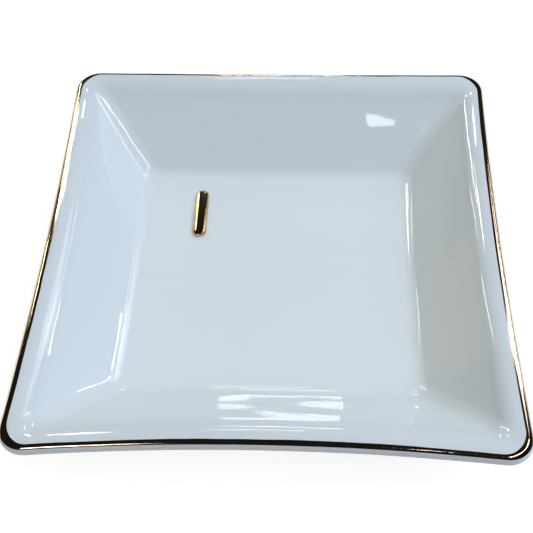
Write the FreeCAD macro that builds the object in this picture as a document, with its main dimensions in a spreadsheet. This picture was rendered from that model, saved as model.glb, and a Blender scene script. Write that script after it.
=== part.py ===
import FreeCAD, Part
import math
import os
import Sketcher

# A square glazed ring dish with a gilded rim and one raised, gilded bar on its floor.
# Millimetres, +Z up. The origin is on the table, under the middle of the dish. +X is its right and +Y its back.
# The fired clay carries a white glaze, and the gold lies on the glaze. The same dish shape is built three times,
# one inside the other: the clay, the glaze's surface and the gold's surface. What lies between two is a coat.

doc = FreeCAD.newDocument("ring_dish")

# Driving sizes of the glazed dish. A width is that of the square through the sharp corners of an outline, before
# the corners are rounded. A hollow is how far a side bows inwards from that square. The floor is an oblong, and its
# middle lies a little in front of the rim's.
DRIVING_SIZES = {
    # rim
    "rim_across": 114.8,
    "side_hollow": 1.25,
    "back_hollow": 0.25,
    "front_hollow": 2.75,
    "rim_corner": 6.5,
    "rim_thick": 3.7,
    "rim_round": 1.5,
    # hollow of the dish
    "land_width": 5.0,
    "lip_corner": 4.0,
    "lip_round": 7.0,
    "dish_depth": 16.0,
    "floor_across": 73.6,
    "floor_deep": 68.4,
    "floor_forward": 0.9,
    "floor_hollow": 0.6,
    "floor_corner": 4.0,
    "floor_round": 5.0,
    # wall and base
    "wall_thick": 3.7,
    "base_thick": 3.7,
    "shoulder_round": 3.0,
    "base_round": 3.0,
    # foot ring
    "foot_height": 1.4,
    "foot_width": 3.0,
    "foot_inset": 2.6,
    "foot_round": 0.5,
    # coats
    "glaze_thick": 0.4,
    "gild_thick": 0.25,
    "gild_width": 1.75,
    "gild_drop": 0.9,
    # raised bar
    "bar_length": 15.0,
    "bar_width": 3.1,
    "bar_height": 0.9,
    "bar_corner": 1.1,
    "bar_round": 0.7,
    "bar_left": 20.5,
    "bar_back": 18.5,
    # reach of a cutting shape past what it cuts
    "overrun": 2.0,
}

sheet = doc.addObject("Spreadsheet::Sheet", "Sizes")
for row, (alias, size) in enumerate(DRIVING_SIZES.items(), start=1):
    sheet.set(f"A{row}", alias)
    sheet.set(f"B{row}", str(size))
    sheet.setAlias(f"B{row}", alias)
doc.recompute()

# Heights above the table. These and the reaches below are expressions on the sheet.
UNDERSIDE = "Sizes.foot_height"
FLOOR = f"({UNDERSIDE} + Sizes.base_thick)"
RIM_TOP = f"({FLOOR} + Sizes.dish_depth)"
RIM_UNDER = f"({RIM_TOP} - Sizes.rim_thick)"

# Each list from here on is of the right, back, left and front sides.
RIM_HOLLOWS = ("Sizes.side_hollow", "Sizes.back_hollow", "Sizes.side_hollow", "Sizes.front_hollow")
FLOOR_HOLLOWS = ("Sizes.floor_hollow",) * 4

# How far the sides reach from the dish's axis.
RIM_REACHES = ("(Sizes.rim_across / 2)",) * 4
LIP_REACHES = [f"({rim} - Sizes.land_width)" for rim in RIM_REACHES]
FLOOR_SIDE = "(Sizes.floor_across / 2)"
FLOOR_BACK = "(Sizes.floor_deep / 2 - Sizes.floor_forward)"
FLOOR_FRONT = "(Sizes.floor_deep / 2 + Sizes.floor_forward)"
FLOOR_REACHES = (FLOOR_SIDE, FLOOR_BACK, FLOOR_SIDE, FLOOR_FRONT)

# The wall rises from the floor to the lip, and its outside runs parallel to its inside.
WALL_RUNS = [f"({lip} - {floor})" for lip, floor in zip(LIP_REACHES, FLOOR_REACHES)]
WALL_LENGTHS = [f"sqrt({run}^2 + Sizes.dish_depth^2)" for run in WALL_RUNS]
WALL_LEVEL_WIDTHS = [f"Sizes.wall_thick * {length} / Sizes.dish_depth" for length in WALL_LENGTHS]
BASE_STEPS = [
    f"({width} - Sizes.base_thick * {run} / Sizes.dish_depth)"
    for width, run in zip(WALL_LEVEL_WIDTHS, WALL_RUNS)
]
SHOULDER_STEPS = [
    f"({width} - Sizes.rim_thick * {run} / Sizes.dish_depth)"
    for width, run in zip(WALL_LEVEL_WIDTHS, WALL_RUNS)
]
BASE_REACHES = [f"({floor} + {step})" for floor, step in zip(FLOOR_REACHES, BASE_STEPS)]
BASE_CORNER = f"(Sizes.floor_corner + {BASE_STEPS[0]})"
SHOULDER_REACHES = [f"({lip} + {step})" for lip, step in zip(LIP_REACHES, SHOULDER_STEPS)]
SHOULDER_CORNER = f"(Sizes.lip_corner + {SHOULDER_STEPS[0]})"

# Where a level face meets the wall, a coat moves their meeting line sideways by this much for each millimetre.
COAT_SHIFTS = [f"(Sizes.dish_depth / ({run} + {length}))" for run, length in zip(WALL_RUNS, WALL_LENGTHS)]
LARGEST_SHIFT = f"max({'; '.join(COAT_SHIFTS)})"
WIDEST_SHOULDER = f"max({'; '.join(SHOULDER_STEPS)})"

FOOT_OUTER_REACHES = [f"({base} - Sizes.foot_inset)" for base in BASE_REACHES]
FOOT_INNER_REACHES = [f"({outer} - Sizes.foot_width)" for outer in FOOT_OUTER_REACHES]
FOOT_INNER_CORNER = "Sizes.floor_corner"
FOOT_OUTER_CORNER = f"({FOOT_INNER_CORNER} + Sizes.foot_width)"
CLAY_UNDERSIDE = f"({UNDERSIDE} + Sizes.glaze_thick)"

# A round takes at most this share of the level room beside its edge.
ROOM_SHARE = 0.85


def limited(radius, room):
    """The radius of a round, or less where the room beside its edge is too narrow for it."""
    return f"min({radius}; {ROOM_SHARE} * ({room}))"


LAND_ROOM = "(Sizes.land_width - Sizes.rim_round)"
FLOOR_ROUND = limited("Sizes.floor_round", f"Sizes.floor_corner / {LARGEST_SHIFT}")
LIP_ROUND = limited("Sizes.lip_round", f"{LAND_ROOM} / {LARGEST_SHIFT}")
RIM_ROUND = limited("Sizes.rim_round", "Sizes.rim_thick / 2")
SHOULDER_ROUND = limited("Sizes.shoulder_round", f"({LAND_ROOM} - {WIDEST_SHOULDER}) / {LARGEST_SHIFT}")
BASE_ROUND = limited("Sizes.base_round", f"Sizes.foot_inset / {LARGEST_SHIFT}")
FOOT_ROUND = limited("Sizes.foot_round", "Sizes.foot_width / 2")


def number(expression):
    """The value that an expression on the sheet has now."""
    return float(sheet.evalExpression(expression))


def new_body(label):
    body = doc.addObject("PartDesign::Body", label)
    body.Label = label
    return body


def level_sketch(body, name, height):
    """An empty sketch of the body, level with the table."""
    sketch = body.newObject("Sketcher::SketchObject", name)
    plane = next(feature for feature in body.Origin.OriginFeatures if feature.Role == "XY_Plane")
    sketch.AttachmentSupport = [(plane, "")]
    sketch.MapMode = "FlatFace"
    sketch.setExpression("AttachmentOffset.Base.z", height)
    return sketch


def bind_last(sketch, name, expression):
    """Names the sketch's last constraint and binds it to an expression on the sheet."""
    sketch.renameConstraint(sketch.ConstraintCount - 1, name)
    sketch.setExpression(f"Constraints.{name}", expression)


def turned(vector, quarter):
    """The vector turned by a number of quarter turns about the dish's axis."""
    return FreeCAD.Rotation(FreeCAD.Vector(0, 0, 1), 90 * quarter).multVec(vector)


def meeting_point(centre, radius, next_centre, next_radius):
    """The inner one of the two points where a side's circle meets that of the next side, anticlockwise."""
    between = next_centre - centre
    distance = between.Length
    along = (distance**2 + radius**2 - next_radius**2) / (2 * distance)
    aside = math.sqrt(radius**2 - along**2)
    return centre + between * (along / distance) + turned(between, 1) * (aside / distance)


def arc_between(centre, radius, start_aim, end_aim):
    """The arc that runs anticlockwise from the direction of one point to that of another."""
    start, end = (math.atan2(aim.y - centre.y, aim.x - centre.x) for aim in (start_aim, end_aim))
    end += 2 * math.pi if end < start else 0
    return Part.ArcOfCircle(Part.Circle(centre, FreeCAD.Vector(0, 0, 1), radius), start, end)


def draw_hollow_square(sketch, reaches, hollows, corner, prefix=""):
    """Adds a square or oblong with rounded corners. Its sides have the reaches and bow inwards by the hollows."""
    side_radii = []
    for quarter, hollow in enumerate(hollows):
        half = f"(({reaches[quarter - 1]} + {reaches[(quarter + 1) % 4]}) / 2)"
        side_radii.append(f"(({half}^2 + {hollow}^2) / (2 * {hollow}))")
    centre_reaches = [
        f"({reach} - {hollow} + {radius})" for reach, hollow, radius in zip(reaches, hollows, side_radii)
    ]
    corner_radius = number(corner)
    radii = [number(radius) for radius in side_radii]
    centres = [
        turned(FreeCAD.Vector(number(reach), 0, 0), quarter) for quarter, reach in enumerate(centre_reaches)
    ]

    # A corner's circle touches the circles of both its sides from inside the dish.
    rounds = [
        meeting_point(
            centres[quarter], radii[quarter] + corner_radius,
            centres[(quarter + 1) % 4], radii[(quarter + 1) % 4] + corner_radius
        )
        for quarter in range(4)
    ]
    first = sketch.GeometryCount
    for quarter in range(4):
        last, following = (quarter - 1) % 4, (quarter + 1) % 4
        sketch.addGeometry(arc_between(centres[quarter], radii[quarter], rounds[quarter], rounds[last]))
        sketch.addGeometry(arc_between(rounds[quarter], corner_radius, centres[quarter], centres[following]))

    # Point 1 of an arc is its start, 2 its end and 3 its centre. A side's arc runs clockwise round the dish.
    for quarter in range(4):
        side = first + 2 * quarter
        round_corner = side + 1
        next_side = first + 2 * ((quarter + 1) % 4)
        axis = -1 if quarter % 2 == 0 else -2
        sketch.addConstraint(Sketcher.Constraint("Tangent", side, 1, round_corner, 1))
        sketch.addConstraint(Sketcher.Constraint("Tangent", round_corner, 2, next_side, 2))
        sketch.addConstraint(Sketcher.Constraint("PointOnObject", side, 3, axis))
        sketch.addConstraint(Sketcher.Constraint("Distance", -1, 1, side, 3, centres[quarter].Length))
        bind_last(sketch, f"{prefix}centre_reach_{quarter}", centre_reaches[quarter])
        sketch.addConstraint(Sketcher.Constraint("Radius", side, radii[quarter]))
        bind_last(sketch, f"{prefix}side_radius_{quarter}", side_radii[quarter])
        if quarter > 0:
            sketch.addConstraint(Sketcher.Constraint("Equal", first + 1, round_corner))
    sketch.addConstraint(Sketcher.Constraint("Radius", first + 1, corner_radius))
    bind_last(sketch, f"{prefix}corner_radius", corner)


def outline(body, name, reaches, hollows, corner, height):
    sketch = level_sketch(body, name, height)
    draw_hollow_square(sketch, reaches, hollows, corner)
    return sketch


def add_loft(body, kind, name, lower, upper):
    loft = body.newObject(kind, name)
    loft.Profile = lower
    loft.Sections = [upper]
    loft.Ruled = True
    return loft


def add_pad(body, name, sketch, length):
    pad = body.newObject("PartDesign::Pad", name)
    pad.Profile = sketch
    pad.setExpression("Length", length)
    return pad


def add_fillet(body, name, edge_indexes, radius):
    """Rounds edges of the body's last feature, given by their places in that feature's list of edges."""
    base = body.Tip
    fillet = body.newObject("PartDesign::Fillet", name)
    fillet.Base = (base, [f"Edge{index + 1}" for index in edge_indexes])
    fillet.setExpression("Radius", radius)


def round_sides(body, name, reaches, hollows, height, radius):
    """Rounds the edge that runs round the dish on an outline at a height. Its corners follow its sides."""
    doc.recompute()
    middles = [edge.valueAt((edge.FirstParameter + edge.LastParameter) / 2) for edge in body.Tip.Shape.Edges]
    sides = []
    for quarter, (reach, hollow) in enumerate(zip(reaches, hollows)):
        aim = turned(FreeCAD.Vector(number(f"{reach} - {hollow}"), 0, number(height)), quarter)
        sides.append(min(range(len(middles)), key=lambda index: middles[index].distanceToPoint(aim)))
    add_fillet(body, name, sides, radius)


def dish_form(label, coat):
    """The dish without its foot, with its surface standing out by coat from the glaze's surface."""
    shifts = [f"({coat}) * {shift}" for shift in COAT_SHIFTS]
    corner_shift = shifts[0]
    top = f"({RIM_TOP} + ({coat}))"
    under_rim = f"({RIM_UNDER} - ({coat}))"
    underside = f"({UNDERSIDE} - ({coat}))"
    floor = f"({FLOOR} + ({coat}))"
    rim_reaches = [f"({reach} + ({coat}))" for reach in RIM_REACHES]
    shoulder_reaches = [f"({reach} + {shift})" for reach, shift in zip(SHOULDER_REACHES, shifts)]
    base_reaches = [f"({reach} + {shift})" for reach, shift in zip(BASE_REACHES, shifts)]
    floor_reaches = [f"({reach} - {shift})" for reach, shift in zip(FLOOR_REACHES, shifts)]
    lip_reaches = [f"({reach} - {shift})" for reach, shift in zip(LIP_REACHES, shifts)]

    body = new_body(label)
    base = outline(
        body, f"{label}_base_outline", base_reaches, FLOOR_HOLLOWS, f"({BASE_CORNER} + {corner_shift})", underside
    )
    shoulder_corner = f"({SHOULDER_CORNER} + {corner_shift})"
    shoulder = outline(
        body, f"{label}_shoulder_outline", shoulder_reaches, RIM_HOLLOWS, shoulder_corner, under_rim
    )
    add_loft(body, "PartDesign::AdditiveLoft", f"{label}_wall", base, shoulder)
    rim = outline(
        body, f"{label}_rim_outline", rim_reaches, RIM_HOLLOWS, f"(Sizes.rim_corner + ({coat}))", under_rim
    )
    add_pad(body, f"{label}_rim", rim, f"Sizes.rim_thick + 2 * ({coat})")
    floor_corner = f"(Sizes.floor_corner - {corner_shift})"
    bottom = outline(body, f"{label}_floor_outline", floor_reaches, FLOOR_HOLLOWS, floor_corner, floor)
    lip = outline(
        body, f"{label}_lip_outline", lip_reaches, RIM_HOLLOWS, f"(Sizes.lip_corner - {corner_shift})", top
    )
    add_loft(body, "PartDesign::SubtractiveLoft", f"{label}_hollow", bottom, lip)

    # Where the surface is hollow a coat tightens its round, and elsewhere it widens it.
    hollow_coat = f"- ({coat})"
    full_coat = f"+ ({coat})"
    for name, reaches, hollows, height, radius in (
        ("floor", floor_reaches, FLOOR_HOLLOWS, floor, f"{FLOOR_ROUND} {hollow_coat}"),
        ("lip", lip_reaches, RIM_HOLLOWS, top, f"{LIP_ROUND} {full_coat}"),
        ("rim_top", rim_reaches, RIM_HOLLOWS, top, f"{RIM_ROUND} {full_coat}"),
        ("rim_under", rim_reaches, RIM_HOLLOWS, under_rim, f"{RIM_ROUND} {full_coat}"),
        ("shoulder", shoulder_reaches, RIM_HOLLOWS, under_rim, f"{SHOULDER_ROUND} {hollow_coat}"),
        ("base", base_reaches, FLOOR_HOLLOWS, underside, f"{BASE_ROUND} {full_coat}"),
    ):
        round_sides(body, f"{label}_{name}_round", reaches, hollows, height, radius)
    return body


def add_foot_ring(body):
    """The unglazed ring that the dish stands on."""
    sketch = level_sketch(body, "foot_outline", "0")
    draw_hollow_square(sketch, FOOT_OUTER_REACHES, FLOOR_HOLLOWS, FOOT_OUTER_CORNER, "outer_")
    draw_hollow_square(sketch, FOOT_INNER_REACHES, FLOOR_HOLLOWS, FOOT_INNER_CORNER, "inner_")
    add_pad(body, "foot_ring", sketch, CLAY_UNDERSIDE)
    round_sides(body, "foot_outer_round", FOOT_OUTER_REACHES, FLOOR_HOLLOWS, "0", FOOT_ROUND)
    round_sides(body, "foot_inner_round", FOOT_INNER_REACHES, FLOOR_HOLLOWS, "0", FOOT_ROUND)


def base_patch(label):
    """The glaze under the base, inside the foot ring."""
    body = new_body(label)
    sketch = outline(
        body, f"{label}_outline", FOOT_INNER_REACHES, FLOOR_HOLLOWS, FOOT_INNER_CORNER, UNDERSIDE
    )
    add_pad(body, f"{label}_patch", sketch, "Sizes.glaze_thick")
    return body


def gilded_zone(label):
    """The space round the crest of the rim that the brush has gilded. It is wider at the corners."""
    body = new_body(label)
    sketch = level_sketch(body, f"{label}_outline", f"{RIM_TOP} - Sizes.gild_drop")
    outer_reaches = [f"({rim} + Sizes.overrun)" for rim in RIM_REACHES]
    inner_reaches = [f"({rim} - Sizes.gild_width)" for rim in RIM_REACHES]
    draw_hollow_square(sketch, outer_reaches, RIM_HOLLOWS, "(Sizes.rim_corner + Sizes.overrun)", "outer_")
    draw_hollow_square(sketch, inner_reaches, RIM_HOLLOWS, "Sizes.rim_corner", "inner_")
    add_pad(body, f"{label}_band", sketch, "Sizes.gild_drop + Sizes.overrun")
    return body


def bar_form(label, coat):
    """The raised bar on the floor, with its sides and top standing out by coat."""
    half_width = f"(Sizes.bar_width / 2 + ({coat}))"
    half_length = f"(Sizes.bar_length / 2 + ({coat}))"
    height = f"(Sizes.bar_height + ({coat}))"
    left = -number("Sizes.bar_left") - number(half_width)
    right = -number("Sizes.bar_left") + number(half_width)
    front = number("Sizes.bar_back") - number(half_length)
    back = number("Sizes.bar_back") + number(half_length)

    body = new_body(label)
    sketch = level_sketch(body, f"{label}_outline", FLOOR)
    corners = [FreeCAD.Vector(*place, 0) for place in ((left, front), (right, front), (right, back), (left, back))]
    for line in range(4):
        sketch.addGeometry(Part.LineSegment(corners[line], corners[(line + 1) % 4]))
    for line in range(4):
        sketch.addConstraint(Sketcher.Constraint("Coincident", line, 2, (line + 1) % 4, 1))
        sketch.addConstraint(Sketcher.Constraint("Vertical" if line % 2 else "Horizontal", line))
    sketch.addConstraint(Sketcher.Constraint("DistanceX", 0, 1, 0, 2, right - left))
    bind_last(sketch, "width", f"2 * {half_width}")
    sketch.addConstraint(Sketcher.Constraint("DistanceY", 1, 1, 1, 2, back - front))
    bind_last(sketch, "length", f"2 * {half_length}")
    sketch.addConstraint(Sketcher.Constraint("DistanceX", 0, 2, -1, 1, -right))
    bind_last(sketch, "right_side", f"Sizes.bar_left - {half_width}")
    sketch.addConstraint(Sketcher.Constraint("DistanceY", -1, 1, 0, 1, front))
    bind_last(sketch, "front_side", f"Sizes.bar_back - {half_length}")
    add_pad(body, f"{label}_bar", sketch, height)

    # An upright edge has one end above the bar's middle height and a top edge has both.
    middle_height = number(f"{FLOOR} + {height} / 2")
    for feature, ends_above, radius in (("corner", 1, "Sizes.bar_corner"), ("top", 2, "Sizes.bar_round")):
        doc.recompute()
        edges = body.Tip.Shape.Edges
        picked = [
            index for index, edge in enumerate(edges)
            if sum(end.Z > middle_height for end in edge.Vertexes) == ends_above
        ]
        add_fillet(body, f"{label}_{feature}_round", picked, f"{radius} + ({coat})")
    return body


def combine(kind, label, base, tool):
    combined = doc.addObject(kind, label)
    combined.Label = label
    combined.Base = base
    combined.Tool = tool
    return combined


clay_body = dish_form("clay_body", "-Sizes.glaze_thick")
add_foot_ring(clay_body)

glazed_form = dish_form("glazed_form", "0")
base_glaze = base_patch("base_glaze")
glaze_and_patch = combine("Part::Cut", "glaze_and_patch", glazed_form, clay_body)
glaze_coat = combine("Part::Cut", "glaze_coat", glaze_and_patch, base_glaze)

gilded_form = dish_form("gilded_form", "Sizes.gild_thick")
gilded_crest = combine("Part::Common", "gilded_crest", gilded_form, gilded_zone("gilded_zone"))
rim_gilding = combine("Part::Cut", "rim_gilding", gilded_crest, glazed_form)

accent_relief = bar_form("accent_relief", "0")
accent_gilding = combine("Part::Cut", "accent_gilding", bar_form("gilded_bar", "Sizes.gild_thick"), accent_relief)
doc.recompute()

for item in doc.Objects:
    if {"Invalid", "Error"} & set(item.State):
        raise RuntimeError(f"{item.Label} failed: {item.State}")

pieces = (clay_body, glaze_coat, base_glaze, rim_gilding, accent_relief, accent_gilding)
for piece in pieces:
    if piece.Shape.isNull() or not piece.Shape.isValid() or len(piece.Shape.Solids) != 1:
        raise RuntimeError(f"{piece.Label} is not one sound solid")

os.makedirs("parts", exist_ok=True)
for piece in pieces:
    piece.Shape.exportStep(f"parts/{piece.Label}.step")
    print(piece.Label, round(piece.Shape.Volume, 2))
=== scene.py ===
import math

import bmesh
import bpy
from mathutils import Matrix, Vector, noise


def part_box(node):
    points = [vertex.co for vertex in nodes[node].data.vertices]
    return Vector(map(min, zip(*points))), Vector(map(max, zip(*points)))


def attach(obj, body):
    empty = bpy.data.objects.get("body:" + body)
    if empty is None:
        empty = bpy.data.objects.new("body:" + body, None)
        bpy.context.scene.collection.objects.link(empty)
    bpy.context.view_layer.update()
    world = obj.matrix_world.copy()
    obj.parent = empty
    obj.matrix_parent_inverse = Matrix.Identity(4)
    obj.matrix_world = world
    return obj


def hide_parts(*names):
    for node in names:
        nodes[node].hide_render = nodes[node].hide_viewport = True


# The looks of a square glazed ring dish with a gilded rim and one raised, gilded bar on its floor.
# Metres, +Z up. The origin is on the table, under the middle of the dish. +X is its right, and +Y
# its back.

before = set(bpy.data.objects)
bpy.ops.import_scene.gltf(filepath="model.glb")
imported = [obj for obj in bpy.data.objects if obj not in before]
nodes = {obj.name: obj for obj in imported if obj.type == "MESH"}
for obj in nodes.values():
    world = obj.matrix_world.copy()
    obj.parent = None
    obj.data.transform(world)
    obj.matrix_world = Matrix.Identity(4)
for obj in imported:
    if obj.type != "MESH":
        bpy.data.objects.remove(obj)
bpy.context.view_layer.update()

MM = 0.001

# The sides of the dish, in the order in which values for all four are given.
RIGHT, BACK, LEFT, FRONT = range(4)

# The glazed surface. A half width is that of the square through the sharp corners of an outline,
# before its sides bow inwards and its corners are rounded. A hollow is how far a side bows in, and
# a stretch how far past its half width a side of the floor lies.
RIM_HALF = 57.4 * MM
LIP_HALF = 52.4 * MM
FLOOR_HALF = 35.1 * MM
FLOOR_MIDDLE_HALF = 3.0 * MM
SHOULDER_HALF = 53.849 * MM
BASE_HALF = 36.549 * MM
FOOT_HALF = 33.949 * MM
RIM_CORNER = 6.5 * MM
LIP_CORNER = 4.0 * MM
FLOOR_CORNER = 4.0 * MM
WALL_CORNER = 5.449 * MM
FOOT_CORNER = 7.0 * MM
RIM_HOLLOWS = (1.25 * MM, 0.25 * MM, 1.25 * MM, 2.75 * MM)
FLOOR_HOLLOW = 0.6 * MM
FLOOR_STRETCHES = (1.7 * MM, -1.8 * MM, 1.7 * MM, 0)
DISH_DEPTH = 16.0 * MM
RIM_THICK = 3.7 * MM

FLOOR_ROUND = 5.0 * MM
LIP_ROUND = 7.0 * MM
RIM_ROUND = 1.5 * MM
SHOULDER_ROUND = 3.0 * MM
BASE_ROUND = 3.0 * MM

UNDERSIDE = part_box("glaze_coat")[0].z
RIM_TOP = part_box("glaze_coat")[1].z
FLOOR = RIM_TOP - DISH_DEPTH
RIM_UNDER = RIM_TOP - RIM_THICK

# The coats. The gold line is drawn outwards to a drop below the crest, and inwards to the edge
# that the brush leaves: wider at the corners, and with a wobble that finer hairs follow.
GLAZE_SKIN = 0.3 * MM
GOLD_SKIN = 0.10 * MM
GOLD_PROUD = 0.025 * MM
GOLD_DROP = 0.46 * MM
GOLD_STEP = 0.1 * MM
GOLD_STEPS = 14
BRUSH_WIDTHS = (1.9 * MM, 1.5 * MM, 1.9 * MM, 1.5 * MM)
BRUSH_CORNER_EXTRA = 0.15 * MM
BRUSH_WOBBLE = 0.11 * MM
BRUSH_WOBBLE_WAVE = 6.0 * MM
HAIR_WOBBLE_SHARE = 1 / 3
HAIRS_PER_WAVE = 4

# Brush streaks: how often they change along half a side of the rim and across the gold line.
STROKE_LENGTHS = 4.0
STROKE_STREAKS = 9.0

# The raised bar. Its crown is an oval: a round one that is pressed flatter by a share.
BAR_SINK = 0.25 * MM
BAR_END_ROUND = 1.6 * MM
BAR_END_STEPS = 10
BAR_TOP_ROUND = 1.0 * MM
BAR_TOP_STEPS = 12
BAR_FLATTER_SHARE = 0.72
BAR_STRAY = 0.04 * MM
BAR_WAVE = 3.0 * MM

# How far a hand-finished surface strays from its drawn shape, and over what length. It strays more
# along the edges of the floor and of the lip, which are trimmed by hand, and low ripples run along
# the walls. The seed keeps all this the same in every run.
HAND_SEED = 2
HAND_STRAY = 0.05 * MM
HAND_WAVE = 17.0 * MM
EDGE_STRAY = 0.10 * MM
EDGE_WAVE = 13.0 * MM
EDGE_REACH = 4.0 * MM
RIPPLE_HEIGHT = 0.06 * MM
RIPPLE_WIDE = 4.5 * MM
RIPPLE_LONG = 15.0 * MM

# The plan that all outlines are drawn from: a square with round corners.
PLAN_HALF = 2
PLAN_CORNER = 1
PLAN_STRAIGHT = PLAN_HALF - PLAN_CORNER

# Fineness of the meshes.
CORNER_STEPS = 14
SIDE_CUTS = 47
ROUND_STEPS = 12
LONGEST_RUN = 1.7 * MM

# White glaze: its colours, the patterns on it, how deep it swells, and its roughness from where it
# pools to where it is plain.
GLAZE_PLAIN = (0.74, 0.79, 0.82)
GLAZE_POOLED = (0.70, 0.765, 0.80)
# Painted shade: the grey-blue that the glaze turns towards the rim's crest, up to a share, stands
# in for the shade on the rim's land and outer edge.
GLAZE_RIM_SHADE = (0.55, 0.60, 0.67)
GLAZE_RIM_SHADE_SHARE = 0.35
GLAZE_SPECK = (0.10, 0.07, 0.05)
GLAZE_CLOUD = {"Scale": 38, "Detail": 3, "Roughness": 0.55}
GLAZE_SPECKS = {"Cells": 90, "Share": 0.03}
GLAZE_COAT = {"Waves": 75, "Ripple": 0.06}
GLAZE_SWELL = 0.03 * MM
GLAZE_ROUGHNESS = (0.01, 0.03)
GLAZE_REFRACTION = 1.5

# Gold: its colours where it is thin and full, how often the bar's streaks change in a metre across
# it, along it and upwards, where a streak turns from thin to full, and its roughness from thin to
# full.
RIM_GOLD_THIN = (0.54, 0.37, 0.25)
RIM_GOLD_FULL = (0.84, 0.66, 0.46)
BAR_GOLD_THIN = (0.48, 0.31, 0.15)
BAR_GOLD_FULL = (0.82, 0.60, 0.30)
BAR_STREAKS = (1800, 120, 1800)
GOLD_STREAK = {"Scale": 1, "Detail": 4, "Roughness": 0.6}
GOLD_TURN = (0.36, 0.62)
GOLD_COAT = {"Waves": 1, "Ripple": 0.25}
GOLD_SWELL = 0.003 * MM
GOLD_ROUGHNESS = (0.11, 0.03)

# Bare clay of the foot ring. Where it stands, a share of it is rubbed grey, fading out at a height.
CLAY_PALE = (0.76, 0.71, 0.62)
CLAY_DARK = (0.62, 0.56, 0.46)
CLAY_RUBBED = (0.50, 0.48, 0.45)
CLAY_SPECK = (0.22, 0.15, 0.10)
CLAY_GRAIN = {"Scale": 900, "Detail": 5, "Roughness": 0.7}
CLAY_SPECKS = {"Cells": 220, "Share": 0.12}
CLAY_COAT = {"Waves": 700, "Ripple": 0.8}
CLAY_SWELL = 0.05 * MM
CLAY_ROUGHNESS = 0.88
FOOT_RUB = 0.4 * MM
FOOT_RUB_SHARE = 0.5

# Effects that several finishes use: where a speck fades out in its cell, and the two noises of an
# uneven coat, the second of which has more waves.
SPECK_FADE = (0.02, 0.055)
COAT_SWELL = {"Detail": 1, "Roughness": 0.4}
COAT_RIPPLE = {"Detail": 2, "Roughness": 0.5}
RIPPLES_PER_SWELL = 7

# The colour sockets of a mix node, by number, because its other kinds have the same names.
MIX_COLOURS = (6, 7)
MIX_RESULT = 2

# The camera, as fitted to the photographed rim. The image is 533 pixels wide and high.
IMAGE_PIXELS = 533
FOCAL_PIXELS = 842.6
LENS_CENTRE = (278, 260)
SENSOR_WIDTH = 36
NEAREST_SEEN = 10 * MM
VIEW_ELEVATION = math.radians(55.673)
VIEW_AZIMUTH = math.radians(3.443)
VIEW_ROLL = math.radians(-2.084)
VIEW_DISTANCE = 203.1 * MM
VIEW_TARGET = Vector((1.75 * MM, -7.4 * MM, RIM_TOP))

# The room. Its shades are pairs: the sine of the elevation that one starts at, and its brightness.
# The table's lift is what it shows to the camera and in reflections beside the light on it.
LAMP_DISTANCE = 1.2
ROOM_SHADES = ((0.015, 0.8), (0.11, 0.013))
TABLE_HALF = 6.0
TABLE_COLOUR = (0.34, 0.34, 0.34)
TABLE_LIFT = 0.82


def ring(half, height, corner, flare):
    """One level outline of the dish. Its flare is 0 for the floor's bow and 1 for the rim's."""
    return Vector((half, height, corner, flare))


def rounded_section(corners, radii):
    """The rings along a section of the dish, with its inner corners rounded by the radii."""
    rings = [corners[0]]
    for before, corner, after, radius in zip(corners, corners[1:], corners[2:], radii):
        back, ahead = before - corner, after - corner
        back /= back.to_2d().length
        ahead /= ahead.to_2d().length
        opening = back.to_2d().angle(ahead.to_2d())
        setback = radius / math.tan(opening / 2)
        start, end = corner + back * setback, corner + ahead * setback
        centre = corner + (back + ahead) * (radius / math.sin(opening))
        turn = math.pi - opening
        for step in range(ROUND_STEPS + 1):
            share = step / ROUND_STEPS
            from_start = (start - centre) * math.sin((1 - share) * turn)
            from_end = (end - centre) * math.sin(share * turn)
            rings.append(centre + (from_start + from_end) / math.sin(turn))
    return rings + [corners[-1]]


def filled_runs(rings):
    """The same rings, with more between two that lie far apart."""
    filled = [rings[0]]
    for last, following in zip(rings, rings[1:]):
        pieces = max(1, math.ceil((following - last).to_2d().length / LONGEST_RUN))
        filled += [last.lerp(following, piece / pieces) for piece in range(1, pieces + 1)]
    return filled


def stray(place, half):
    """A place on the drawn dish, moved as a hand leaves it. The half width is that of its ring."""
    from_edge = min(abs(half - FLOOR_HALF), abs(half - LIP_HALF))
    trimmed = EDGE_STRAY * max(0, 1 - (from_edge / EDGE_REACH)**2)**2
    up_the_wall = (half - FLOOR_HALF) / (LIP_HALF - FLOOR_HALF)
    rippled = RIPPLE_HEIGHT * max(0, 1 - (2 * up_the_wall - 1)**4)
    along_ripples = Vector((place.x / RIPPLE_LONG, place.y / RIPPLE_LONG, half / RIPPLE_WIDE))
    hand = noise.noise_vector(place / HAND_WAVE) * HAND_STRAY
    edge = noise.noise_vector(place / EDGE_WAVE) * trimmed
    return place + hand + edge + Vector((0, 0, noise.noise(along_ripples) * rippled))


def sides_near(plan):
    """The two sides of the dish that a point of the plan is near."""
    return (RIGHT if plan.x > 0 else LEFT, BACK if plan.y > 0 else FRONT)


def straight_part(plan):
    """The point nearest to one of the plan in the square between its corners' centres."""
    return [max(-PLAN_STRAIGHT, min(PLAN_STRAIGHT, plan[axis])) for axis in range(2)]


def outline_place(plan, outline):
    """Where a point of the plan lies on a ring."""
    half, height, corner, flare = outline
    sides = sides_near(plan)
    hollows = [FLOOR_HOLLOW + (RIM_HOLLOWS[side] - FLOOR_HOLLOW) * flare for side in sides]
    reaches = [half * (1 + FLOOR_STRETCHES[side] * (1 - flare) / FLOOR_HALF) for side in sides]
    square = [
        straight * (reach - corner) + (plan[axis] - straight) * corner
        for axis, (straight, reach) in enumerate(zip(straight_part(plan), reaches))
    ]
    across, along = square[0] / reaches[0], square[1] / reaches[1]
    bow_x = hollows[0] * across * (1 - along**2)
    bow_y = hollows[1] * along * (1 - across**2)
    return stray(Vector((square[0] - bow_x, square[1] - bow_y, height)), half)


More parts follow.
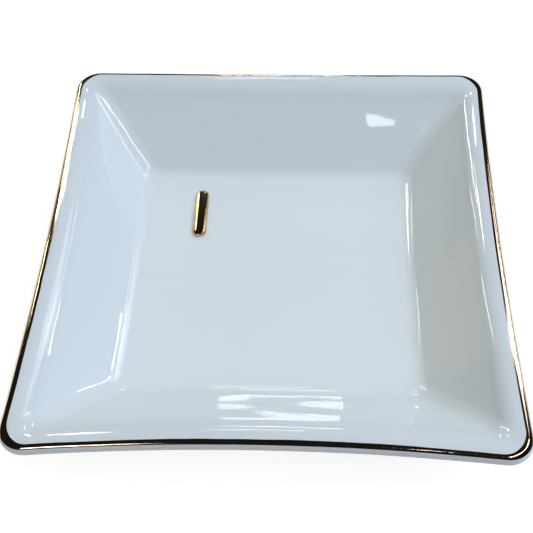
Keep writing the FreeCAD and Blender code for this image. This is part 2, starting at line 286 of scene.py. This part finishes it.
def sweep(rings, floored):
    """A sheet through the rings, each extruded from the last. Each vertex keeps its plan."""
    sheet = bmesh.new()
    bmesh.ops.create_grid(sheet, x_segments=1, y_segments=1, size=PLAN_HALF)
    bmesh.ops.bevel(
        sheet, geom=sheet.verts[:], offset=PLAN_CORNER, offset_type="OFFSET",
        segments=CORNER_STEPS, profile=0.5, affect="VERTICES", material=-1
    )
    sides = [edge for edge in sheet.edges if edge.calc_length() > PLAN_STRAIGHT]
    bmesh.ops.subdivide_edges(sheet, edges=sides, cuts=SIDE_CUTS)
    plan = sheet.verts.layers.float_vector.new("plan")
    across = sheet.verts.layers.float.new("across")
    for vertex in sheet.verts:
        vertex[plan] = vertex.co
        vertex.co = outline_place(vertex[plan], rings[0])
    outer_edges = sheet.edges[:]
    if not floored:
        bmesh.ops.delete(sheet, geom=sheet.faces[:], context="FACES_ONLY")
    for number, outline in enumerate(rings[1:], start=1):
        grown = bmesh.ops.extrude_edge_only(sheet, edges=outer_edges)["geom"]
        fresh = {item for item in grown if isinstance(item, bmesh.types.BMVert)}
        edges = [item for item in grown if isinstance(item, bmesh.types.BMEdge)]
        outer_edges = [edge for edge in edges if fresh.issuperset(edge.verts)]
        for vertex in fresh:
            vertex[across] = number / (len(rings) - 1)
            vertex.co = outline_place(vertex[plan], outline)
    bmesh.ops.recalc_face_normals(sheet, faces=sheet.faces[:])
    highest = max(sheet.faces, key=lambda face: face.calc_center_median().z)
    if highest.normal.z < 0:
        bmesh.ops.reverse_faces(sheet, faces=sheet.faces[:])
    for edge in sheet.edges:
        edge.smooth = not edge.is_boundary
    return sheet


def finished_piece(name, sheet, material, replaced, skin=0.0):
    """Makes an object of a mesh, gives it its material and lets it stand for its CAD node."""
    for face in sheet.faces:
        face.smooth = True
    mesh = bpy.data.meshes.new(name)
    sheet.to_mesh(mesh)
    sheet.free()
    mesh.materials.append(material)
    piece = bpy.data.objects.new(name, mesh)
    bpy.context.scene.collection.objects.link(piece)
    if skin:
        thickness = piece.modifiers.new("skin", "SOLIDIFY")
        thickness.thickness = skin
        thickness.offset = -1
    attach(piece, "root")
    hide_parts(replaced)


def glazed_section():
    """The section of the glaze, from the middle of the floor over the rim to the foot ring."""
    middle_corner = FLOOR_CORNER * FLOOR_MIDDLE_HALF / FLOOR_HALF
    return rounded_section(
        [
            ring(FLOOR_MIDDLE_HALF, FLOOR, middle_corner, 0),
            ring(FLOOR_HALF, FLOOR, FLOOR_CORNER, 0),
            ring(LIP_HALF, RIM_TOP, LIP_CORNER, 1),
            ring(RIM_HALF, RIM_TOP, RIM_CORNER, 1),
            ring(RIM_HALF, RIM_UNDER, RIM_CORNER, 1),
            ring(SHOULDER_HALF, RIM_UNDER, WALL_CORNER, 1),
            ring(BASE_HALF, UNDERSIDE, WALL_CORNER, 0),
            ring(FOOT_HALF, UNDERSIDE, FOOT_CORNER, 0),
        ],
        (FLOOR_ROUND, LIP_ROUND, RIM_ROUND, RIM_ROUND, SHOULDER_ROUND, BASE_ROUND),
    )


def build_glaze(material):
    sheet = sweep(filled_runs(glazed_section()), floored=True)
    finished_piece("white_glaze_coat", sheet, material, "glaze_coat", GLAZE_SKIN)


def crest_ring(half):
    """The ring of the glazed rim at a half width: on the land, or lower on its outer round."""
    lip = ring(LIP_HALF, RIM_TOP, LIP_CORNER, 1)
    rim = ring(RIM_HALF, RIM_TOP, RIM_CORNER, 1)
    crest = lip.lerp(rim, (half - LIP_HALF) / (RIM_HALF - LIP_HALF))
    past_land = max(0, half - RIM_HALF + RIM_ROUND)
    crest.y -= RIM_ROUND - math.sqrt(RIM_ROUND**2 - past_land**2)
    return crest


def brush_width(plan, place):
    """How wide the gold is at a point of the plan: by its side, more at a corner, never even."""
    outward = plan.to_2d() - Vector(straight_part(plan))
    right_left, back_front = [BRUSH_WIDTHS[side] for side in sides_near(plan)]
    width = right_left * outward.x**2 + back_front * outward.y**2
    width += BRUSH_CORNER_EXTRA * (2 * outward.x * outward.y)**2
    wobble = noise.noise(place / BRUSH_WOBBLE_WAVE)
    wobble += HAIR_WOBBLE_SHARE * noise.noise(place * HAIRS_PER_WAVE / BRUSH_WOBBLE_WAVE)
    return width + BRUSH_WOBBLE * wobble


def build_gold_line(material):
    """The gold line: a film on the crest of the rim, from its brushed inner edge outwards."""
    outer = RIM_HALF - RIM_ROUND + math.sqrt(RIM_ROUND**2 - (RIM_ROUND - GOLD_DROP)**2)
    steps = range(GOLD_STEPS, -1, -1)
    sheet = sweep([crest_ring(outer - GOLD_STEP * step) for step in steps], floored=False)
    plan = sheet.verts.layers.float_vector["plan"]
    across = sheet.verts.layers.float["across"]
    stroke = sheet.verts.layers.float_vector.new("stroke")
    for vertex in sheet.verts:
        edge_place = outline_place(vertex[plan], crest_ring(outer))
        inner = RIM_HALF - brush_width(vertex[plan], edge_place)
        half = inner + (outer - inner) * vertex[across]
        vertex.co = outline_place(vertex[plan], crest_ring(half))
        lengths = vertex[plan].to_2d() * STROKE_LENGTHS
        vertex[stroke] = (*lengths, vertex[across] * STROKE_STREAKS)
    sheet.normal_update()
    for vertex in sheet.verts:
        vertex.co += vertex.normal * GOLD_PROUD
    finished_piece("gold_rim_line", sheet, material, "rim_gilding", GOLD_SKIN)


def bevelled(shape, edges, offset, segments):
    bmesh.ops.bevel(
        shape, geom=edges, offset=offset, offset_type="OFFSET", segments=segments, profile=0.5,
        affect="EDGES", material=-1
    )


def build_gold_bar(material):
    """The raised bar: a low block with round ends, an oval crown and a foot sunk in the glaze."""
    low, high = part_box("accent_gilding")
    low.z -= BAR_SINK
    size = high - low
    size.z /= BAR_FLATTER_SHARE
    bar = bmesh.new()
    bmesh.ops.create_cube(bar, size=1)
    bmesh.ops.scale(bar, vec=size, verts=bar.verts)
    upright = [
        edge for edge in bar.edges
        if abs(edge.verts[0].co.z - edge.verts[1].co.z) > size.z / 2
    ]
    bevelled(bar, upright, BAR_END_ROUND, BAR_END_STEPS)
    top = [
        edge for edge in bar.edges
        if all(vertex.co.z > size.z / 4 for vertex in edge.verts)
    ]
    bevelled(bar, top, BAR_TOP_ROUND, BAR_TOP_STEPS)
    bmesh.ops.scale(bar, vec=(1, 1, BAR_FLATTER_SHARE), verts=bar.verts)
    bmesh.ops.translate(bar, vec=(low + high) / 2, verts=bar.verts)
    for vertex in bar.verts:
        vertex.co += noise.noise_vector(vertex.co / BAR_WAVE) * BAR_STRAY
    finished_piece("gold_floor_bar", bar, material, "accent_gilding")


def add_node(tree, kind, values=None, **settings):
    """A new node of a tree, with the values of its sockets and its other settings."""
    node = tree.nodes.new(kind)
    for name, value in settings.items():
        setattr(node, name, value)
    for socket, value in (values or {}).items():
        node.inputs[socket].default_value = value
    return node


def join(tree, source, output, target, entry):
    tree.links.new(source.outputs[output], target.inputs[entry])


def new_group(name, inputs, outputs):
    """An empty shader group. Its sockets are pairs of a name and a kind."""
    tree = bpy.data.node_groups.new(name, "ShaderNodeTree")
    for way, sockets in (("INPUT", inputs), ("OUTPUT", outputs)):
        for label, kind in sockets:
            tree.interface.new_socket(label, in_out=way, socket_type=f"NodeSocket{kind}")
    return tree, tree.nodes.new("NodeGroupInput"), tree.nodes.new("NodeGroupOutput")


def place_group(tree, group, place, values):
    """A group in a material's tree, with the place that its pattern is read at."""
    node = add_node(tree, "ShaderNodeGroup", values, node_tree=group)
    tree.links.new(place, node.inputs["Place"])
    return node


def new_material(name):
    material = bpy.data.materials.new(name)
    material.use_nodes = True
    return material, material.node_tree, material.node_tree.nodes["Principled BSDF"]


def mapped(tree, value, before, after, smooth=False):
    """An output that carries a value over from one range to another."""
    limits = {
        "From Min": before[0], "From Max": before[1], "To Min": after[0], "To Max": after[1]
    }
    kind = "SMOOTHSTEP" if smooth else "LINEAR"
    node = add_node(tree, "ShaderNodeMapRange", limits, interpolation_type=kind)
    tree.links.new(value, node.inputs["Value"])
    return node.outputs["Result"]


def blended(tree, share, first, second):
    """The mix of two colours by the share that an output gives. A colour may be an output too."""
    mix = add_node(tree, "ShaderNodeMix", data_type="RGBA", blend_type="MIX")
    tree.links.new(share, mix.inputs["Factor"])
    for colour, number in zip((first, second), MIX_COLOURS):
        if isinstance(colour, tuple):
            mix.inputs[number].default_value = (*colour, 1)
        else:
            tree.links.new(colour, mix.inputs[number])
    return mix.outputs[MIX_RESULT]


def height_of(tree, place):
    """An output with the height of a place."""
    split = add_node(tree, "ShaderNodeSeparateXYZ")
    tree.links.new(place, split.inputs["Vector"])
    return split.outputs["Z"]


def kiln_specks_group():
    """Small dark specks of iron. Cells is how many lie along a metre, and share how many show."""
    tree, given, result = new_group(
        "kiln specks", [("Place", "Vector"), ("Cells", "Float"), ("Share", "Float")],
        [("Mask", "Float")]
    )
    cells = add_node(tree, "ShaderNodeTexVoronoi", feature="F1")
    join(tree, given, "Place", cells, "Vector")
    join(tree, given, "Cells", cells, "Scale")
    picked = add_node(tree, "ShaderNodeSeparateColor")
    join(tree, cells, "Color", picked, "Color")
    chosen = add_node(tree, "ShaderNodeMath", operation="LESS_THAN")
    join(tree, picked, "Red", chosen, 0)
    join(tree, given, "Share", chosen, 1)
    dot = mapped(tree, cells.outputs["Distance"], SPECK_FADE, (1, 0), smooth=True)
    mask = add_node(tree, "ShaderNodeMath", operation="MULTIPLY")
    join(tree, chosen, 0, mask, 0)
    tree.links.new(dot, mask.inputs[1])
    join(tree, mask, 0, result, "Mask")
    return tree


def uneven_group():
    """Slow swells of a hand-dipped or brushed coat, with a finer ripple on them."""
    tree, given, result = new_group(
        "uneven coat", [("Place", "Vector"), ("Waves", "Float"), ("Ripple", "Float")],
        [("Height", "Float")]
    )
    swell = add_node(tree, "ShaderNodeTexNoise", COAT_SWELL)
    ripple = add_node(tree, "ShaderNodeTexNoise", COAT_RIPPLE)
    finer = add_node(tree, "ShaderNodeMath", {1: RIPPLES_PER_SWELL}, operation="MULTIPLY")
    height = add_node(tree, "ShaderNodeMath", operation="MULTIPLY_ADD")
    join(tree, given, "Place", swell, "Vector")
    join(tree, given, "Place", ripple, "Vector")
    join(tree, given, "Waves", swell, "Scale")
    join(tree, given, "Waves", finer, 0)
    join(tree, finer, 0, ripple, "Scale")
    join(tree, ripple, "Fac", height, 0)
    join(tree, given, "Ripple", height, 1)
    join(tree, swell, "Fac", height, 2)
    join(tree, height, 0, result, "Height")
    return tree


def brushed_gold_group():
    """Gold laid on with a brush: streaked, and browner and rougher where it is thin."""
    tree, given, result = new_group(
        "brushed gold", [("Place", "Vector"), ("Thin", "Color"), ("Full", "Color")],
        [("Colour", "Color"), ("Roughness", "Float")]
    )
    streak = add_node(tree, "ShaderNodeTexNoise", GOLD_STREAK)
    join(tree, given, "Place", streak, "Vector")
    full = mapped(tree, streak.outputs["Fac"], GOLD_TURN, (0, 1))
    colour = blended(tree, full, given.outputs["Thin"], given.outputs["Full"])
    roughness = mapped(tree, streak.outputs["Fac"], (0, 1), GOLD_ROUGHNESS)
    tree.links.new(colour, result.inputs["Colour"])
    tree.links.new(roughness, result.inputs["Roughness"])
    return tree


def swell_on(tree, surface, uneven, place, values, depth):
    """Gives a surface the swells of an uneven coat."""
    coat = place_group(tree, uneven, place, values)
    bump = add_node(tree, "ShaderNodeBump", {"Strength": 1, "Distance": depth})
    join(tree, coat, "Height", bump, "Height")
    join(tree, bump, "Normal", surface, "Normal")


def white_glaze(uneven, specks):
    """Cool white glaze: clouded where it pools, lightly specked, and greyed towards the rim's crest
    as painted shade.
    """
    material, tree, surface = new_material("white glaze")
    place = add_node(tree, "ShaderNodeTexCoord").outputs["Object"]
    cloud = add_node(tree, "ShaderNodeTexNoise", GLAZE_CLOUD)
    tree.links.new(place, cloud.inputs["Vector"])
    colour = blended(tree, cloud.outputs["Fac"], GLAZE_POOLED, GLAZE_PLAIN)
    # Painted shade: the glaze greys from the height of the rim's underside up to its crest.
    thin = mapped(
        tree, height_of(tree, place), (RIM_UNDER, RIM_TOP), (0, GLAZE_RIM_SHADE_SHARE), smooth=True
    )
    colour = blended(tree, thin, colour, GLAZE_RIM_SHADE)
    speck = place_group(tree, specks, place, GLAZE_SPECKS)
    colour = blended(tree, speck.outputs["Mask"], colour, GLAZE_SPECK)
    tree.links.new(colour, surface.inputs["Base Color"])
    roughness = mapped(tree, cloud.outputs["Fac"], (0, 1), GLAZE_ROUGHNESS)
    tree.links.new(roughness, surface.inputs["Roughness"])
    surface.inputs["IOR"].default_value = GLAZE_REFRACTION
    swell_on(tree, surface, uneven, place, GLAZE_COAT, GLAZE_SWELL)
    return material


def place_on_stroke(tree):
    """The place along and across the brush stroke of the gold line."""
    return add_node(tree, "ShaderNodeAttribute", attribute_name="stroke").outputs["Vector"]


def place_on_bar(tree):
    """The place on the bar, drawn out so that the streaks run along it."""
    source = add_node(tree, "ShaderNodeTexCoord")
    along = add_node(tree, "ShaderNodeMapping", {"Scale": BAR_STREAKS})
    join(tree, source, "Object", along, "Vector")
    return along.outputs["Vector"]


def gold_lustre(name, uneven, brushed, place_on, thin, full):
    """Bright gold, streaked along the stroke that laid it."""
    material, tree, surface = new_material(name)
    place = place_on(tree)
    gold = place_group(tree, brushed, place, {"Thin": (*thin, 1), "Full": (*full, 1)})
    join(tree, gold, "Colour", surface, "Base Color")
    join(tree, gold, "Roughness", surface, "Roughness")
    surface.inputs["Metallic"].default_value = 1
    swell_on(tree, surface, uneven, place, GOLD_COAT, GOLD_SWELL)
    return material


def fired_clay(uneven, specks):
    """Bare clay of the foot ring: matt, sandy and warm, rubbed a little grey where it stands."""
    material, tree, surface = new_material("fired clay")
    place = add_node(tree, "ShaderNodeTexCoord").outputs["Object"]
    grain = add_node(tree, "ShaderNodeTexNoise", CLAY_GRAIN)
    tree.links.new(place, grain.inputs["Vector"])
    colour = blended(tree, grain.outputs["Fac"], CLAY_DARK, CLAY_PALE)
    rubbed = mapped(tree, height_of(tree, place), (0, FOOT_RUB), (FOOT_RUB_SHARE, 0))
    colour = blended(tree, rubbed, colour, CLAY_RUBBED)
    speck = place_group(tree, specks, place, CLAY_SPECKS)
    colour = blended(tree, speck.outputs["Mask"], colour, CLAY_SPECK)
    tree.links.new(colour, surface.inputs["Base Color"])
    surface.inputs["Roughness"].default_value = CLAY_ROUGHNESS
    swell_on(tree, surface, uneven, place, CLAY_COAT, CLAY_SWELL)
    return material


def dress_node(node, material):
    for slot in nodes[node].material_slots:
        slot.material = material


def direction(azimuth, elevation):
    """The way to a place: azimuth turns from the back, +Y, towards the right, +X."""
    level = math.cos(elevation)
    return Vector((math.sin(azimuth) * level, math.cos(azimuth) * level, math.sin(elevation)))


def add_camera():
    back = direction(math.pi - VIEW_AZIMUTH, VIEW_ELEVATION)
    right = Vector((0, 0, 1)).cross(back).normalized()
    up = back.cross(right)
    turn = Matrix.Rotation(VIEW_ROLL, 3, back)
    facing = Matrix((turn @ right, turn @ up, back)).transposed().to_4x4()
    lens = bpy.data.cameras.new("camera")
    lens.sensor_width = SENSOR_WIDTH
    lens.lens = SENSOR_WIDTH * FOCAL_PIXELS / IMAGE_PIXELS
    lens.shift_x = 0.5 - LENS_CENTRE[0] / IMAGE_PIXELS
    lens.shift_y = LENS_CENTRE[1] / IMAGE_PIXELS - 0.5
    lens.clip_start = NEAREST_SEEN
    camera = bpy.data.objects.new("camera", lens)
    camera.matrix_world = Matrix.Translation(VIEW_TARGET + back * VIEW_DISTANCE) @ facing
    bpy.context.scene.collection.objects.link(camera)
    bpy.context.scene.camera = camera


def add_window(name, azimuth, elevation, wide, high, brightness, colour, mirrored=True):
    """A soft rectangular light that faces the dish. All its angles are seen from there."""
    lamp = bpy.data.lights.new(name, "AREA")
    lamp.shape = "RECTANGLE"
    lamp.size = 2 * LAMP_DISTANCE * math.tan(math.radians(wide) / 2)
    lamp.size_y = 2 * LAMP_DISTANCE * math.tan(math.radians(high) / 2)
    lamp.energy = brightness * math.pi * lamp.size * lamp.size_y
    lamp.color = colour
    light = bpy.data.objects.new(name, lamp)
    way = direction(math.radians(azimuth), math.radians(elevation))
    light.location = way * LAMP_DISTANCE
    light.rotation_euler = way.to_track_quat("Z", "Y").to_euler()
    light.visible_glossy = mirrored
    bpy.context.scene.collection.objects.link(light)


def add_lights():
    """Broad fill that the glaze and the gold don't mirror, and narrow windows that they do.

    Each has its azimuth, elevation, width and height in degrees, its brightness and its colour.
    """
    add_window("right back fill", 70, 50, 60, 40, 0.6, (0.68, 1.0, 1.40), mirrored=False)
    add_window("right front fill", 125, 48, 60, 40, 1.0, (0.71, 0.93, 1.25), mirrored=False)
    add_window("front fill", 166, 66, 60, 30, 0.98, (1.18, 1.0, 0.76), mirrored=False)
    add_window("back fill", 0, 50, 60, 30, 0.3, (1.0, 1.0, 1.05), mirrored=False)
    add_window("top fill", 60, 76, 44, 44, 0.55, (1.06, 1.0, 0.92), mirrored=False)
    add_window("right near pane", 50, 46, 9, 20, 3.2, (0.85, 0.96, 1.10))
    add_window("right far pane", 39, 50, 8, 18, 2.6, (0.90, 0.95, 1.05))
    add_window("right low pane", 57, 37.5, 6.5, 13, 6.0, (0.95, 0.98, 1.0))
    add_window("right sill", 56, 24, 16, 1.4, 16.0, (1.0, 1.0, 1.0))
    add_window("right low sill", 63, 15, 6, 1.2, 14.0, (1.0, 1.0, 1.0))
    add_window("right high sill", 70, 58, 12, 1.6, 16.0, (0.95, 1.0, 1.0))
    add_window("right top sill", 112, 64.5, 34, 1.5, 16.0, (0.95, 1.0, 1.0))
    add_window("back window", -1.5, 27, 10.5, 2, 21.0, (0.93, 0.98, 1.0))
    add_window("back high window", -4.5, 46, 8, 2, 14.0, (0.93, 0.98, 1.0))
    add_window("left high pane", -27, 46, 4.5, 7, 20.0, (1.0, 0.98, 0.82))
    add_window("left low pane", -34, 32, 2.4, 18, 15.0, (1.0, 0.98, 0.82))
    add_window("left narrow pane", -46, 25, 1.6, 14, 9.0, (1.0, 0.97, 0.82))
    add_window("left front pane", -54, 33, 1.6, 14, 12.0, (1.0, 0.98, 0.86))
    add_window("left card", -59, 10, 13, 7.4, 0.5, (1.0, 0.94, 0.3))
    add_window("front right lamp", 167.6, 56.6, 2.2, 1.5, 9.0, (0.84, 0.97, 1.0))
    add_window("front left lamp", -161, 38.5, 10, 9, 6.0, (1.0, 0.97, 0.94))


def add_world():
    """A room that is pale at the horizon and dark overhead, for the gold to mirror."""
    world = bpy.data.worlds.new("room")
    world.use_nodes = True
    tree = world.node_tree
    place = add_node(tree, "ShaderNodeTexCoord").outputs["Generated"]
    shades = add_node(tree, "ShaderNodeValToRGB")
    for element, (position, shade) in zip(shades.color_ramp.elements, ROOM_SHADES):
        element.position = position
        element.color = (shade, shade, shade, 1)
    tree.links.new(height_of(tree, place), shades.inputs["Fac"])
    join(tree, shades, "Color", tree.nodes["Background"], "Color")
    bpy.context.scene.world = world


def add_table():
    """A pale table top, white to the camera and in reflections, that takes the dish's shadow."""
    sheet = bmesh.new()
    bmesh.ops.create_grid(sheet, x_segments=1, y_segments=1, size=TABLE_HALF)
    mesh = bpy.data.meshes.new("table")
    sheet.to_mesh(mesh)
    sheet.free()
    material, tree, surface = new_material("pale table")
    tree.nodes.remove(surface)
    matte = add_node(tree, "ShaderNodeBsdfDiffuse", {"Color": (*TABLE_COLOUR, 1)})
    path = add_node(tree, "ShaderNodeLightPath")
    mirrored = add_node(tree, "ShaderNodeMath", operation="MAXIMUM")
    shown = add_node(tree, "ShaderNodeMath", operation="MAXIMUM")
    strength = add_node(tree, "ShaderNodeMath", {1: TABLE_LIFT}, operation="MULTIPLY")
    glow = add_node(tree, "ShaderNodeEmission")
    both = add_node(tree, "ShaderNodeAddShader")
    join(tree, path, "Is Glossy Ray", mirrored, 0)
    join(tree, path, "Is Transmission Ray", mirrored, 1)
    join(tree, path, "Is Camera Ray", shown, 0)
    join(tree, mirrored, 0, shown, 1)
    join(tree, shown, 0, strength, 0)
    join(tree, strength, 0, glow, "Strength")
    join(tree, matte, 0, both, 0)
    join(tree, glow, 0, both, 1)
    join(tree, both, 0, tree.nodes["Material Output"], "Surface")
    mesh.materials.append(material)
    table = bpy.data.objects.new("table", mesh)
    bpy.context.scene.collection.objects.link(table)


noise.seed_set(HAND_SEED)
uneven = uneven_group()
specks = kiln_specks_group()
brushed = brushed_gold_group()
glaze = white_glaze(uneven, specks)
rim_gold = gold_lustre(
    "gold of the rim", uneven, brushed, place_on_stroke, RIM_GOLD_THIN, RIM_GOLD_FULL
)
bar_gold = gold_lustre(
    "gold of the bar", uneven, brushed, place_on_bar, BAR_GOLD_THIN, BAR_GOLD_FULL
)
clay = fired_clay(uneven, specks)
build_glaze(glaze)
build_gold_line(rim_gold)
build_gold_bar(bar_gold)
dress_node("clay_body", clay)
dress_node("base_glaze", glaze)
dress_node("accent_relief", glaze)
add_camera()
add_lights()
add_world()
add_table()
bpy.context.scene.view_settings.view_transform = "Standard"
